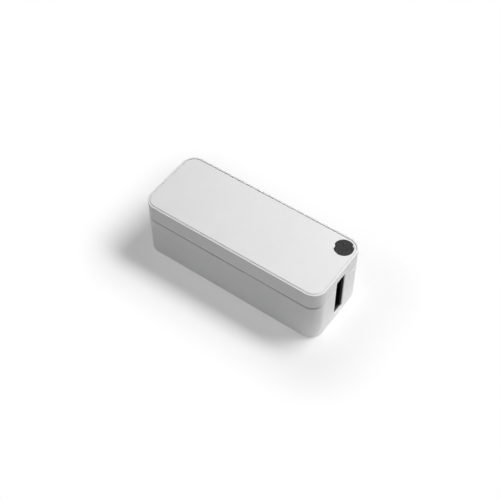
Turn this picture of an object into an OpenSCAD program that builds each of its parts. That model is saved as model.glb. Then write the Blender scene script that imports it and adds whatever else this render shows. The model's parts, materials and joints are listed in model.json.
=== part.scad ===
// Cable management box: a white base and a lift-off white lid, each with a black
// lining. A lip on the lid's lining drops into the base's tray and keeps the lid in
// place. A cable slot crosses the parting line at each end, and a turning cap in the
// lid's mat opens or shuts a cable way.
// Origin: centre of the footprint, on the surface that the feet stand on.
// X runs along the box, Y from front to rear, Z up. Millimetres.

/* [Box] */
// Overall length, end to end
box_l = 400; // [320:1:440]
// Overall depth, front to rear
box_w = 155; // [130:1:180]
// Overall height, from the feet to the top of the mat
box_h = 135; // [125:1:150]
// Radius of the four upright corners
corner_r = 28; // [26:1:40]
// Height of the lid above the parting line
lid_h = 40; // [32:1:48]
// Open joint between the lid's edge and the base's edge
joint_gap = 2; // [1:0.1:2.4]

/* [Walls] */
// Wall of the white shells
shell_wall = 2; // [1.6:0.1:2.4]
// Wall of the black tray and of the black lid frame
liner_wall = 2.2; // [1.8:0.1:2.6]
// Round on the base's bottom edge
base_round = 2; // [1.5:0.5:4]
// Round on the lid's top edge
lid_round = 0.6; // [0.3:0.1:1.4]
// Round on the two edges that face each other across the open joint
joint_round = 0.6; // [0.2:0.1:0.9]

/* [Mat] */
// Thickness of the mat let into the lid
mat_t = 1.5; // [1.4:0.1:2.6]
// Distance from the lid's side to the middle of the groove round the mat
groove_inset = 4; // [3.8:0.1:6]
// Width of the groove round the mat
groove_w = 1.5; // [0.5:0.1:1.6]

/* [Cable port] */
// Distance from the port's centre to the right end and to the rear; a large port or
// corner pushes it further in, so that the mat stays whole round the port
port_edge = 27.3; // [26:0.1:34]
// Radius of the round seat in the mat that takes the cap
port_r = 19.2; // [17.5:0.1:20]
// Depth of that seat, which is the thickness of the cap's flange
port_seat = 1; // [0.8:0.1:1.2]
// Radius of the hole that the cap's skirt turns in
port_bore_r = 13.8; // [12:0.1:14]
// Direction of the cable way from the port's centre, anticlockwise from +X
port_way_angle = 115; // [0:5:355]
// Direction of the cap's cable notch from the port's centre while the port is shut
notch_angle = 200; // [0:5:355]
// Depth of the cap's cable notch
notch_depth = 2.7; // [1.5:0.1:3]

/* [End slots] */
// Width of the cable slot in each end
slot_w = 28; // [20:1:40]
// Height of the slot's lower edge above the floor
slot_low = 18.5; // [16:0.5:40]
// Distance from the top of the mat down to the slot's upper edge
slot_drop = 18.5; // [16:0.5:24]
// Radius of the slot's corners
slot_r = 3; // [1:0.5:6]

/* [Feet] */
// Radius of a foot's pad
foot_r = 9; // [7:0.5:12]
// How far the feet stand below the base
foot_drop = 1.2; // [0.8:0.1:2]
// Distance from the box's side and end to a foot's centre
foot_inset = 30; // [26:1:40]

/* [Hidden] */
$fn = 96;
cut = 1;                // how far a cutter runs past the face that it opens
let_in = 0.5;           // how far a rib is let into the wall that it stands on
edge_break = 0.1;       // round on a hidden lower edge
seat_air = 0.15;        // air between a shell and the lining inside it
lip_air = 0.5;          // air between the lid's lip and the tray
lip_t = 1.8;            // thickness of the lid's lip
lip_h = 8;              // how far the lip reaches down into the tray
shoulder_h = 4;         // height of the thick band that the lip hangs from
rim_drop = 2;           // how far the tray's rim lies below the parting line
plate_t = 2.2;          // lid plate under the mat
collar_t = 1.8;         // width of the collar round a slot
collar_deep = 2;        // how far the collar stands into the box
collar_set = 0.5;       // how far behind the lining's outer face a collar begins
collar_clear = 1;       // air between the tray's collar and the lid's lip, along Y

// Levels
parting_z = box_h - lid_h;
base_top = parting_z - joint_gap / 2;
lid_low = parting_z + joint_gap / 2;
floor_z = foot_drop + shell_wall;
tray_top = parting_z - rim_drop;
pocket_z = box_h - mat_t;
plate_z = pocket_z - plate_t;
slot_high = box_h - slot_drop;

// Plan insets, measured in from the outside of the box
tray_out = shell_wall + seat_air;
tray_in = tray_out + liner_wall;
lip_out = tray_in + lip_air;
lip_in = lip_out + lip_t;
pocket_in = groove_inset - groove_w / 2;
mat_in = groove_inset + groove_w / 2;
mat_round = 0.3;        // round on the mat's top edge

// Port and cap
port_land = 0.8;        // least width of mat left between the port and the mat's edge
port_clear = mat_in + port_r + port_land;
port_in = max(port_edge, port_clear, corner_r - (corner_r - port_clear) / sqrt(2));
port_x = box_l / 2 - port_in;
port_y = box_w / 2 - port_in;
seat_z = box_h - port_seat;
cap_gap = 0.4;          // open ring between the cap's flange and the mat
cap_r = port_r - cap_gap;
cap_round = 0.4;        // round on the flange's top edge
skirt_fit = 0.1;        // running clearance of the skirt in the lid's bore
skirt_r = port_bore_r - skirt_fit;
skirt_t = 1.6;          // wall of the cap's skirt
hook_air = 0.2;         // air between the snap hooks and the underside of the lid
hook_h = 1.6;           // height of a hook
hook_out = 0.8;         // how far a hook reaches out beyond the skirt
leg_count = 4;
leg_slit = 3;           // slit between two spring legs
notch_r = 9;            // radius of the scoop that makes the cable notch
grip_turn = -155;       // direction of the finger notch, from that of the cable notch
grip_depth = 1.8;       // depth of the finger notch
grip_r = 6;             // radius of the scoop that makes it
way_w = 12.5;           // width of the cable way beside the bore
way_ledge = 0.2;        // ledge left in the seat beyond the cable way's end
way_end_r = port_r - way_ledge;
ring_step = 0.3;        // how far the ring under the port stands outside the seat's wall
ring_in = port_r + ring_step;
ring_t = 1.6;           // wall of that ring
cap_rib_t = 1.4;        // thickness of the cap's crossed ribs
cap_rib_h = 2;
cap_rib_turn = 45;      // direction of the first of them, clear of the slits

// Ribs
rib_t = 1.8;            // thickness of the lid's ribs and of the tray's rails
rib_air = 0.3;          // air between the lid's ribs and the lining round them
lid_rib_h = 2.6;        // how far the lid's ribs stand down from its plate
lid_rib_y = 22;         // distance of the two long ribs from the middle
lid_rib_pitch = 72;     // distance between two cross ribs
lid_rib_pairs = 2;      // cross ribs on each side of the one in the middle
rail_h = 3;             // height of the tray's rails
rail_y = box_w / 5;     // distance of a rail from the middle
rail_end = 55;          // distance from a rail's end to the end of the box

// Feet
foot_seat = 0.8;        // depth of the round seat that holds the pad
foot_seat_air = 0.2;    // air round the pad in its seat
foot_round = 0.8;       // round on the pad's lower edge
stem_r = 1.8;           // radius of the stem pushed through the base and the tray
stem_air = 0.1;         // air round the stem
barb_r = 2.6;           // radius of the barb that holds the stem
barb_h = 1.4;
foot_x = box_l / 2 - foot_inset;
foot_y = box_w / 2 - foot_inset;

// ---- outlines and solids shared by several pieces ----

// A rectangle with round corners
module plan(l, w, r) {
    square([l - 2 * r, w], center = true);
    square([l, w - 2 * r], center = true);
    for (sx = [-1, 1], sy = [-1, 1])
        translate([sx * (l / 2 - r), sy * (w / 2 - r)])
            circle(r);
}

// The box's plan, moved in by inset, as an upright solid from z0 to z1
module plan_solid(inset, z0, z1) {
    translate([0, 0, z0])
        linear_extrude(z1 - z0)
            plan(box_l - 2 * inset, box_w - 2 * inset, corner_r - inset);
}

// What a round of radius r takes off a square corner at the origin
module corner_waste(r) {
    difference() {
        translate([-cut, -cut]) square(r + cut);
        translate([r, r]) circle(r);
    }
}

// An upright section of half width x, with its lower and upper outer edges rounded
module half_section(x, h, low, high) {
    difference() {
        square([x, h]);
        translate([x, 0]) mirror([1, 0]) corner_waste(low);
        translate([x, h]) mirror([1, 0]) mirror([0, 1]) corner_waste(high);
    }
}

module full_section(x, h, low, high) {
    half_section(x, h, low, high);
    mirror([1, 0]) half_section(x, h, low, high);
}

// The box's outer form from z0 to z1, its edges rounded by low and high
module rounded_solid(inset, z0, z1, low, high) {
    l = box_l - 2 * inset;
    w = box_w - 2 * inset;
    r = corner_r - inset;
    h = z1 - z0;
    translate([0, 0, z0]) {
        for (sx = [-1, 1], sy = [-1, 1])
            translate([sx * (l / 2 - r), sy * (w / 2 - r), 0])
                rotate_extrude() half_section(r, h, low, high);
        rotate([90, 0, 90])
            linear_extrude(l - 2 * r, center = true) full_section(w / 2, h, low, high);
        rotate([90, 0, 0])
            linear_extrude(w - 2 * r, center = true) full_section(l / 2, h, low, high);
    }
}

// A bar along X with the outline of an end slot grown by grow, from x0 to x1
module slot_bar(grow, x0, x1) {
    translate([x0, 0, (slot_low + slot_high) / 2])
        rotate([90, 0, 90])
            linear_extrude(x1 - x0)
                plan(slot_w + 2 * grow, slot_high - slot_low + 2 * grow, slot_r + grow);
}

// Both end slots, as cutters
module end_slots() {
    slot_bar(0, -box_l / 2 - cut, -box_l / 2 + tray_in + collar_deep + cut);
    slot_bar(0, box_l / 2 - tray_in - collar_deep - cut, box_l / 2 + cut);
}

// The collars that line both slots behind the wall, between two levels
module slot_collars(z0, z1) {
    collar_face = tray_out + collar_set;
    collar_end = tray_in + collar_deep;
    intersection() {
        union() {
            slot_bar(collar_t, collar_face - box_l / 2, collar_end - box_l / 2);
            slot_bar(collar_t, box_l / 2 - collar_end, box_l / 2 - collar_face);
        }
        translate([-box_l / 2, -box_w / 2, z0]) cube([box_l, box_w, z1 - z0]);
    }
}

module at_port() {
    translate([port_x, port_y, 0]) children();
}

module at_feet() {
    for (sx = [-1, 1], sy = [-1, 1])
        translate([sx * foot_x, sy * foot_y, 0]) children();
}

// ---- base ----

module base_shell() {
    color("white") difference() {
        rounded_solid(0, foot_drop, base_top, base_round, joint_round);
        plan_solid(shell_wall, floor_z, base_top + cut);
        end_slots();
        at_feet() {
            translate([0, 0, foot_drop - cut])
                cylinder(r = foot_r + foot_seat_air, h = foot_seat + cut);
            cylinder(r = stem_r + stem_air, h = floor_z + cut);
        }
    }
}

module base_tray() {
    color("dimgray") difference() {
        union() {
            difference() {
                plan_solid(tray_out, floor_z, tray_top);
                plan_solid(tray_in, floor_z + liner_wall, tray_top + cut);
            }
            slot_collars(slot_low - collar_t, tray_top);
            tray_rails();
        }
        end_slots();
        at_feet() cylinder(r = stem_r + stem_air, h = floor_z + liner_wall + cut);
    }
}

// Low rails that keep a socket strip off the tray's floor
module tray_rails() {
    for (sy = [-1, 1])
        translate([rail_end - box_l / 2, sy * rail_y - rib_t / 2, floor_z + liner_wall - let_in])
            cube([box_l - 2 * rail_end, rib_t, rail_h + let_in]);
}

module foot() {
    stem_top = floor_z + liner_wall + seat_air;
    rotate_extrude() {
        difference() {
            square([foot_r, foot_drop + foot_seat]);
            translate([foot_r, 0]) mirror([1, 0]) corner_waste(foot_round);
        }
        square([stem_r, stem_top + barb_h / 2]);
        translate([0, stem_top]) polygon([[0, 0], [barb_r, 0], [stem_r, barb_h], [0, barb_h]]);
    }
}

module foot_at(sx, sy) {
    color("dimgray") translate([sx * foot_x, sy * foot_y, 0]) foot();
}

// ---- lid ----

module lid_shell() {
    color("white") difference() {
        union() {
            difference() {
                rounded_solid(0, lid_low, box_h, joint_round, lid_round);
                plan_solid(shell_wall, lid_low - cut, plate_z);
            }
            lid_ribs();
        }
        plan_solid(pocket_in, pocket_z, box_h + cut);
        end_slots();
        at_port() port_hole();
    }
}

// Ribs under the lid's plate and a ring round the port, all inside the lining
module lid_ribs() {
    low = plate_z - lid_rib_h;
    tall = lid_rib_h + let_in;
    intersection() {
        plan_solid(tray_in + rib_air, low, plate_z + let_in);
        difference() {
            union() {
                for (sy = [-1, 1])
                    translate([-box_l / 2, sy * lid_rib_y - rib_t / 2, low])
                        cube([box_l, rib_t, tall]);
                for (i = [-lid_rib_pairs:lid_rib_pairs])
                    translate([i * lid_rib_pitch - rib_t / 2, -box_w / 2, low])
                        cube([rib_t, box_w, tall]);
                at_port() translate([0, 0, low]) cylinder(r = ring_in + ring_t, h = tall);
            }
            at_port() translate([0, 0, low - cut]) cylinder(r = ring_in, h = lid_rib_h + cut);
        }
    }
}

// The bore for the cap's skirt, and beside it the way for the cable, through lid and mat
module port_hole() {
    translate([0, 0, plate_z - cut])
        linear_extrude(box_h - plate_z + 2 * cut) {
            circle(port_bore_r);
            intersection() {
                circle(way_end_r);
                rotate(port_way_angle) translate([0, -way_w / 2]) square([port_r, way_w]);
            }
        }
}

module lid_frame() {
    color("dimgray") difference() {
        union() {
            difference() {
                plan_solid(tray_out, tray_top, plate_z);
                plan_solid(tray_in, tray_top + shoulder_h, plate_z + cut);
                plan_solid(lip_in, tray_top - cut, tray_top + shoulder_h + cut);
            }
            difference() {
                plan_solid(lip_out, tray_top - lip_h, tray_top + cut);
                plan_solid(lip_in, tray_top - lip_h - cut, tray_top + 2 * cut);
                lip_gaps();
            }
            slot_collars(tray_top, slot_high + collar_t);
        }
        end_slots();
    }
}

// Where the lip is left out, so that it passes the collars of the tray
module lip_gaps() {
    gap_w = slot_w + 2 * (collar_t + collar_clear);
    translate([-box_l / 2, -gap_w / 2, tray_top - lip_h - cut])
        cube([box_l, gap_w, lip_h + cut]);
}

// The mat, with a round seat for the cap and the port's hole through it
module lid_mat() {
    color("gainsboro") difference() {
        rounded_solid(mat_in, pocket_z, box_h, edge_break, mat_round);
        at_port() {
            translate([0, 0, seat_z]) cylinder(r = port_r, h = port_seat + cut);
            port_hole();
        }
    }
}

// The cap: a flange flush with the mat, with one notch for a cable and one for a finger,
// on a skirt of four spring legs
module port_cap() {
    hook_z = plate_z - hook_air - hook_h;
    color("dimgray") at_port() difference() {
        union() {
            translate([0, 0, seat_z])
                rotate_extrude() half_section(cap_r, port_seat, edge_break, cap_round);
            rotate_extrude() translate([skirt_r - skirt_t, hook_z])
                square([skirt_t, seat_z - hook_z + let_in]);
            rotate_extrude() translate([skirt_r - skirt_t, hook_z])
                polygon([[0, 0], [skirt_t, 0], [skirt_t + hook_out, hook_h], [0, hook_h]]);
            cap_ribs();
        }
        leg_slits(hook_z);
        edge_scoop(notch_angle, notch_depth, notch_r);
        edge_scoop(notch_angle + grip_turn, grip_depth, grip_r);
    }
}

// A cutter of radius r that takes a scoop of the given depth out of the flange's edge
module edge_scoop(angle, depth, r) {
    rotate(angle)
        translate([cap_r - depth + r, 0, seat_z - cut])
            cylinder(r = r, h = port_seat + 2 * cut);
}

// Crossed ribs under the flange, inside the skirt
module cap_ribs() {
    intersection() {
        union() for (side = [-1, 1])
            rotate(side * cap_rib_turn) translate([-skirt_r, -cap_rib_t / 2, seat_z - cap_rib_h])
                cube([2 * skirt_r, cap_rib_t, cap_rib_h + let_in]);
        cylinder(r = skirt_r - skirt_t / 2, h = box_h);
    }
}

module leg_slits(hook_z) {
    for (i = [0:leg_count - 1])
        rotate(i * 360 / leg_count)
            translate([skirt_r - skirt_t - cut, -leg_slit / 2, hook_z - cut])
                cube([skirt_t + hook_out + 2 * cut, leg_slit, seat_z - hook_z + cut]);
}

base_shell();
base_tray();
lid_shell();
lid_frame();
lid_mat();
port_cap();
foot_at(-1, -1);  // foot_front_left
foot_at(1, -1);  // foot_front_right
foot_at(-1, 1);  // foot_rear_left
foot_at(1, 1);  // foot_rear_right
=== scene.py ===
"""Looks, light and camera for a cable management box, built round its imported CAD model."""

import json
import math

import bpy
from mathutils import Matrix, Vector


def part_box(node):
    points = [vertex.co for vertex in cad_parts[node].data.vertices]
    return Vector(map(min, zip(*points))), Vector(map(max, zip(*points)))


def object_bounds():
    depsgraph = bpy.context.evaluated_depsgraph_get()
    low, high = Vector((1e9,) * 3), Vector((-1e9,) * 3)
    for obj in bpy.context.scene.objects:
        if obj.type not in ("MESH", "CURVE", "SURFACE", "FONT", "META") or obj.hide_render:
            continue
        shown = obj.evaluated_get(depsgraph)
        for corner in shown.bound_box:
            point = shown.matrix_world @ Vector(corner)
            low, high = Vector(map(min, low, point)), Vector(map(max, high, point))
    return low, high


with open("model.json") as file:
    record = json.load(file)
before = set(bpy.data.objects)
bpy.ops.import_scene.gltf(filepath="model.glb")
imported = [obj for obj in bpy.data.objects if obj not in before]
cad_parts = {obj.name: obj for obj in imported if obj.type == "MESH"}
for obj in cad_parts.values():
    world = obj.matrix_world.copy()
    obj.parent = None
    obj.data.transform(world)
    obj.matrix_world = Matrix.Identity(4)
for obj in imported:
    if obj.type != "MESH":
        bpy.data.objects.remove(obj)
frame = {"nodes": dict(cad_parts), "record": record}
cad_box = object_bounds()
nodes = frame["nodes"]
scene = bpy.context.scene

MM = 0.001

# ---- camera: angles in degrees, lengths in metres ----
IMAGE_SIDE = 500            # pixels
SENSOR = 36                 # width of the sensor, in millimetres
FOCAL_PX = 1008.07          # focal length, in pixels
AZIMUTH = 35.64
ELEVATION = 51.95
ROLL = -0.27
DISTANCE = 1.9372           # from the middle of the box
SHIFT_RIGHT_PX = 1.22       # how far the middle of the box lies to the right of the picture's middle
SHIFT_UP_PX = 4.68          # and how far above it

# ---- light: levels are shares of a full white, at which a colour renders as it is written ----
KEY_DIRECTION = Vector((0.4, 0.415, 1)).normalized()
KEY_DISTANCE = 2.6
KEY_SIZE = (1.37, 0.62)
KEY_LEVEL = 0.83
FILL_DIRECTION = Vector((1, 0.45, 0.35)).normalized()
FILL_DISTANCE = 1.0
FILL_SIZE = (0.5, 0.5)
FILL_LEVEL = 0.008
SKY_LEVEL = 0.05
HORIZON_LEVEL = 4.65        # brightness of the sky low down, which fills the upright sides
HORIZON_RISE = 0.15         # sine of the elevation at which the sky has fallen to SKY_LEVEL

# ---- floor: distances are measured from the box's footprint ----
FLOOR_SIDE = 12
FLOOR_SEEN = 0.86           # colour that the camera sees near the box
FLOOR_LIFT = 0.345          # share of plain white mixed into it, so that the shadow stays pale
FADE_START = 0.03           # distances between which the floor fades to plain white
FADE_END = 0.15
FLOOR_BOUNCE = 0.78         # colour that lights the box from below
BOUNCE_END = 0.25           # distance at which that colour has fallen to black

# ---- painted shade in the groove round the mat ----
GROOVE_SHADE = 0.68                # grey level of the painted shade
SHADE_START = 0.2 * MM      # depths below the lid's top between which the painted shade sets in
SHADE_END = 0.6 * MM
GROOVE_FLOOR = 2 * MM       # depths between which it ends again, below the groove's floor
GROOVE_END = 3 * MM
CORNER = 28 * MM            # corner radius of the box
SHADE_REACH = 26 * MM       # distance from a corner's centre at which it ends, inside the outer wall

NOISE_LOW = 0.3             # most values of a noise texture lie between these two
NOISE_HIGH = 0.7
STEEP = 0.5                 # upward part of the normal at which a face no longer counts as upright
LEVEL = 0.9                 # and that at which it counts as level
RING_SCALE = math.pi / 10   # the wave texture's own scale for rings one metre apart
GRAIN_SOFTNESS = 0.6        # rounding between the cells of a stippled surface
PLAIN_SHINE = 0.5           # specular level of most plastics


# ---- shader helpers ----

class Shader:
    """The node tree of a new material, or of a world, with short calls for the nodes that it needs."""

    def __init__(self, owner):
        is_world = isinstance(owner, bpy.types.World)
        self.material = owner if is_world else bpy.data.materials.new(owner)
        self.material.use_nodes = True
        self.tree = self.material.node_tree
        self.tree.nodes.clear()
        output = "ShaderNodeOutputWorld" if is_world else "ShaderNodeOutputMaterial"
        self.output = self.tree.nodes.new(output)

    def node(self, kind, **values):
        """A new node, with each value set on its input of that name, or else on the node itself."""
        made = self.tree.nodes.new(kind)
        for key, value in values.items():
            if key in made.inputs:
                made.inputs[key].default_value = value
            else:
                setattr(made, key, value)
        return made

    def link(self, source, target):
        self.tree.links.new(source, target)

    def place(self):
        """The point's own place on its object, which stays with it at every pose."""
        return self.node("ShaderNodeTexCoord").outputs["Object"]

    def axes(self, vector):
        """The X, Y and Z sockets of a vector's socket."""
        split = self.node("ShaderNodeSeparateXYZ")
        self.link(vector, split.inputs["Vector"])
        return split.outputs

    def math(self, operation, first, second=None):
        """One Math node; each input is a socket or a plain number."""
        made = self.node("ShaderNodeMath", operation=operation)
        for socket, value in zip(made.inputs, (first, second)):
            if isinstance(value, bpy.types.NodeSocket):
                self.link(value, socket)
            elif value is not None:
                socket.default_value = value
        return made.outputs[0]

    def mix(self, share, first, second):
        """A mix of two shaders' outputs, with share of the second."""
        made = self.node("ShaderNodeMixShader")
        for socket, value in zip(made.inputs, (share, first, second)):
            self.link(value, socket)
        return made.outputs[0]

    def noise(self, size, detail=2, roughness=0.5, stretch=(1, 1, 1)):
        """Noise whose marks are about size metres across, times 1 / stretch along each axis."""
        mapping = self.node("ShaderNodeMapping", Scale=stretch)
        self.link(self.place(), mapping.inputs["Vector"])
        made = self.node("ShaderNodeTexNoise", Scale=1 / size, Detail=detail, Roughness=roughness)
        self.link(mapping.outputs["Vector"], made.inputs["Vector"])
        return made.outputs["Fac"]

    def cells(self, size):
        """Rounded grains about size metres across."""
        made = self.node("ShaderNodeTexVoronoi", Scale=1 / size, feature="SMOOTH_F1",
                         Smoothness=GRAIN_SOFTNESS)
        self.link(self.place(), made.inputs["Vector"])
        return made.outputs["Distance"]

    def ease(self, value, start, end, first, last, curve="SMOOTHSTEP"):
        """Goes from first to last while value goes from start to end."""
        made = self.node("ShaderNodeMapRange", interpolation_type=curve)
        ends = {"From Min": start, "From Max": end, "To Min": first, "To Max": last}
        for key, number in ends.items():
            made.inputs[key].default_value = number
        self.link(value, made.inputs["Value"])
        return made.outputs["Result"]

    def spread(self, value, low, high, start=NOISE_LOW, end=NOISE_HIGH):
        """Goes evenly from low to high while value goes from start to end."""
        return self.ease(value, start, end, low, high, "LINEAR")

    def facing_up(self, side, top):
        """Goes from side on upright faces to top on level ones that look up."""
        normal = self.node("ShaderNodeNewGeometry").outputs["Normal"]
        return self.spread(self.axes(normal)["Z"], side, top, STEEP, LEVEL)

    def tint(self, value, low, high):
        """A colour between low and high, each a colour or a colour's socket, by value from 0 to 1."""
        made = self.node("ShaderNodeMix", data_type="RGBA")
        ends = [socket for socket in made.inputs if socket.type == "RGBA"]
        for socket, colour in zip(ends, (low, high)):
            if isinstance(colour, bpy.types.NodeSocket):
                self.link(colour, socket)
            else:
                socket.default_value = colour
        self.link(value, made.inputs["Factor"])
        return [socket for socket in made.outputs if socket.type == "RGBA"][0]

    def bump(self, height, depth, below=None):
        """Relief of depth metres from height, on top of the relief below."""
        made = self.node("ShaderNodeBump", Distance=depth, Strength=1)
        self.link(height, made.inputs["Height"])
        if below:
            self.link(below, made.inputs["Normal"])
        return made.outputs["Normal"]

    def rings(self, centre, pitch):
        """Rings round an upright axis through centre, pitch metres apart."""
        mapping = self.node("ShaderNodeMapping", vector_type="POINT")
        mapping.inputs["Location"].default_value = (-centre[0], -centre[1], 0)
        self.link(self.place(), mapping.inputs["Vector"])
        made = self.node("ShaderNodeTexWave", wave_type="RINGS", rings_direction="Z",
                         Scale=RING_SCALE / pitch)
        self.link(mapping.outputs["Vector"], made.inputs["Vector"])
        return made.outputs["Fac"]


def distance_from_box(s, inset=0):
    """Level distance from the box's footprint, drawn in by inset all round, in metres."""
    place = s.axes(s.place())
    squares = []
    for axis, low, high in zip("XY", cad_box[0], cad_box[1]):
        away = s.math("ABSOLUTE", place[axis])
        past = s.math("MAXIMUM", s.math("SUBTRACT", away, (high - low) / 2 - inset), 0)
        squares.append(s.math("MULTIPLY", past, past))
    return s.math("SQRT", s.math("ADD", *squares))


class Surface(Shader):
    """A Principled surface that drifts between two colours in patches of a given size."""

    def __init__(self, name, dark, light, patch, shine=PLAIN_SHINE):
        super().__init__(name)
        self.skin = self.node("ShaderNodeBsdfPrincipled")
        self.skin.inputs["Specular IOR Level"].default_value = shine
        self.colour = self.tint(self.spread(self.noise(patch, detail=4), 0, 1), dark, light)
        self.relief = None

    def stain(self, share, colour):
        """Lays a share of another colour over the colour so far."""
        self.colour = self.tint(share, self.colour, colour)

    def rough(self, value, low, high):
        """Roughness from low to high by value."""
        self.link(self.spread(value, low, high), self.skin.inputs["Roughness"])

    def emboss(self, height, depth):
        """Adds relief of depth metres to the relief so far."""
        self.relief = self.bump(height, depth, self.relief)

    def done(self):
        self.link(self.colour, self.skin.inputs["Base Color"])
        self.link(self.relief, self.skin.inputs["Normal"])
        self.link(self.skin.outputs["BSDF"], self.output.inputs["Surface"])
        return self.material


def grey(level):
    return (level, level, level, 1)


def groove(s):
    """Mask of the painted shade: 1 in the groove round the mat, 0 on the skin round it."""
    height = s.axes(s.place())["Z"]
    top = cad_box[1][2]
    below_rim = s.ease(height, top - SHADE_END, top - SHADE_START, 1, 0)
    above_floor = s.ease(height, top - GROOVE_END, top - GROOVE_FLOOR, 0, 1)
    from_corner = distance_from_box(s, CORNER)
    inside_wall = s.ease(from_corner, SHADE_REACH, SHADE_REACH + SHADE_END, 1, 0)
    return s.math("MULTIPLY", s.math("MULTIPLY", below_rim, above_floor), inside_wall)


def white_shell():
    """Satin white plastic: a spark-eroded grain, a slow waviness from moulding, faint rub marks, and
    painted shade in the groove round the mat.
    """
    s = Surface("white_shell", grey(0.775), grey(0.795), patch=50 * MM)
    rubs = s.noise(1.6 * MM, detail=3, roughness=0.6, stretch=(0.08, 1, 1))
    s.stain(s.spread(rubs, 0, 0.5, start=0.62, end=0.75), grey(0.75))
    # painted shade: the groove's walls and floor are darkened, standing in for the shade that falls in
    # it
    s.stain(groove(s), grey(GROOVE_SHADE))
    s.rough(s.noise(3 * MM, detail=3), 0.42, 0.54)
    s.emboss(s.noise(60 * MM, detail=1), depth=0.05 * MM)
    s.emboss(s.noise(0.5 * MM, roughness=0.6), depth=0.02 * MM)
    return s.done()


def pale_mat():
    """Matt rubber with a fine pebbled surface, and painted shade on its upright faces in the groove."""
    s = Surface("pale_mat", grey(0.787), grey(0.807), patch=40 * MM, shine=0.4)
    # painted shade: the mat's upright faces are darkened to the groove's shade grey
    s.stain(s.facing_up(1, 0), grey(GROOVE_SHADE))
    s.rough(s.noise(4 * MM, detail=3), 0.6, 0.75)
    s.emboss(s.cells(0.9 * MM), depth=0.03 * MM)
    s.emboss(s.noise(0.4 * MM, roughness=0.6), depth=0.01 * MM)
    return s.done()


def black_lining():
    """Black plastic with a coarser grain, and a little dust on the faces that look up."""
    s = Surface("black_lining", grey(0.032), grey(0.042), patch=50 * MM)
    dust = s.spread(s.noise(2.5 * MM, detail=6, roughness=0.7), 0, 0.25, start=0.5, end=0.75)
    s.stain(s.math("MULTIPLY", dust, s.facing_up(0, 1)), grey(0.16))
    s.rough(s.noise(4 * MM, detail=3), 0.48, 0.66)
    s.emboss(s.noise(0.7 * MM, roughness=0.6), depth=0.04 * MM)
    return s.done()


def dark_cap():
    """Dark stippled plastic with a fine mottle, and the rings that its tool was turned with."""
    low, high = (Vector(corner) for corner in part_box("port_cap"))
    s = Surface("dark_cap", grey(0.012), grey(0.03), patch=9 * MM, shine=0.12)
    mottle = s.noise(3 * MM, detail=4, roughness=0.7)
    s.stain(s.spread(mottle, 0, 1, start=0.43, end=0.68), grey(0.074))
    s.rough(s.noise(2 * MM), 0.5, 0.7)
    s.emboss(s.rings((low + high) / 2, pitch=1.2 * MM), depth=0.04 * MM)
    s.emboss(s.cells(1.1 * MM), depth=0.06 * MM)
    return s.done()


def dark_rubber():
    """Matt black rubber."""
    s = Surface("dark_rubber", grey(0.026), grey(0.036), patch=10 * MM)
    s.rough(s.noise(3 * MM, detail=3), 0.7, 0.85)
    s.emboss(s.noise(0.5 * MM, roughness=0.6), depth=0.03 * MM)
    return s.done()


def dress():
    """Gives each CAD node the material of its slot in the record."""
    made = {m.__name__: m() for m in (white_shell, black_lining, pale_mat, dark_cap, dark_rubber)}
    for part in frame["record"]["subparts"]:
        materials = nodes[part["node"]].data.materials
        materials.clear()
        materials.append(made[part["material_slot"]])


# ---- stage ----

def seen_directly(s):
    """1 for rays from the camera, a mirror or clear material, else 0."""
    path = s.node("ShaderNodeLightPath")
    mirrored = s.math("MAXIMUM", path.outputs["Is Glossy Ray"], path.outputs["Is Transmission Ray"])
    return s.math("MAXIMUM", path.outputs["Is Camera Ray"], mirrored)


def floor_material():
    """A pale floor that keeps the shadow near the box and fades to plain white away from it."""
    s = Shader("floor")
    distance = distance_from_box(s)
    near = s.node("ShaderNodeBsdfDiffuse", Color=grey(FLOOR_SEEN))
    white = s.node("ShaderNodeEmission")
    whiteness = s.ease(distance, FADE_START, FADE_END, FLOOR_LIFT, 1)
    shown = s.mix(whiteness, near.outputs[0], white.outputs[0])
    bounce = s.node("ShaderNodeBsdfDiffuse")
    s.link(s.ease(distance, 0, BOUNCE_END, FLOOR_BOUNCE, 0), bounce.inputs["Color"])
    s.link(s.mix(seen_directly(s), bounce.outputs[0], shown), s.output.inputs["Surface"])
    return s.material


def make_floor():
    mesh = bpy.data.meshes.new("floor")
    h = FLOOR_SIDE / 2
    mesh.from_pydata([(-h, -h, 0), (h, -h, 0), (h, h, 0), (-h, h, 0)], [], [(0, 1, 2, 3)])
    floor = bpy.data.objects.new("floor", mesh)
    floor.location.z = cad_box[0][2]
    scene.collection.objects.link(floor)
    mesh.materials.append(floor_material())


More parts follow.
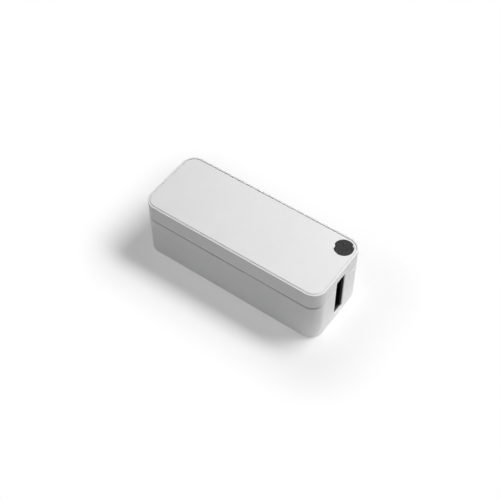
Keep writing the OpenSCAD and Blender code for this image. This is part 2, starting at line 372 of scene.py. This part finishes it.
def make_sky():
    """A dim sky that is brighter low down, and plain white where it is seen."""
    world = bpy.data.worlds.new("sky")
    scene.world = world
    s = Shader(world)
    rise = s.axes(s.node("ShaderNodeTexCoord").outputs["Generated"])["Z"]
    lit = s.node("ShaderNodeBackground", Color=grey(1))
    s.link(s.ease(rise, 0, HORIZON_RISE, HORIZON_LEVEL, SKY_LEVEL), lit.inputs["Strength"])
    white = s.node("ShaderNodeBackground", Color=grey(1))
    s.link(s.mix(seen_directly(s), lit.outputs[0], white.outputs[0]), s.output.inputs["Surface"])


def stand(name, data, place, side, back):
    """An object at place whose +Z is back, and whose +X is as near to side as that allows."""
    right = (side - side.dot(back) * back).normalized()
    turn = Matrix((right, back.cross(right), back)).transposed().to_4x4()
    made = bpy.data.objects.new(name, data)
    made.matrix_world = Matrix.Translation(place) @ turn
    scene.collection.objects.link(made)
    return made


def make_lamp(name, direction, distance, size, level):
    """A soft light that brings a white top at the origin to the given level."""
    lamp = bpy.data.lights.new(name, "AREA")
    lamp.shape = "RECTANGLE"
    lamp.size, lamp.size_y = size
    lamp.energy = math.pi ** 2 * distance ** 2 * level / direction.z
    stand(name, lamp, direction * distance, Vector((1, 0, 0)), direction)


def make_camera():
    azimuth, elevation, roll = (math.radians(a) for a in (AZIMUTH, ELEVATION, ROLL))
    back = Vector((math.sin(azimuth) * math.cos(elevation),
                   -math.cos(azimuth) * math.cos(elevation), math.sin(elevation)))
    level = Vector((math.cos(azimuth), math.sin(azimuth), 0))
    rise = back.cross(level)
    right = math.cos(roll) * level + math.sin(roll) * rise
    up = math.cos(roll) * rise - math.sin(roll) * level
    middle = (Vector(cad_box[0]) + Vector(cad_box[1])) / 2
    pixel = DISTANCE / FOCAL_PX
    place = middle + back * DISTANCE - SHIFT_RIGHT_PX * pixel * right - SHIFT_UP_PX * pixel * up
    data = bpy.data.cameras.new("camera")
    data.sensor_width = SENSOR
    data.lens = FOCAL_PX / IMAGE_SIDE * SENSOR
    data.clip_end = FLOOR_SIDE * 2
    scene.camera = stand("camera", data, place, right, back)


make_camera()
make_lamp("key", KEY_DIRECTION, KEY_DISTANCE, KEY_SIZE, KEY_LEVEL)
make_lamp("fill", FILL_DIRECTION, FILL_DISTANCE, FILL_SIZE, FILL_LEVEL)
make_sky()
make_floor()
dress()
scene.view_settings.view_transform = "Standard"
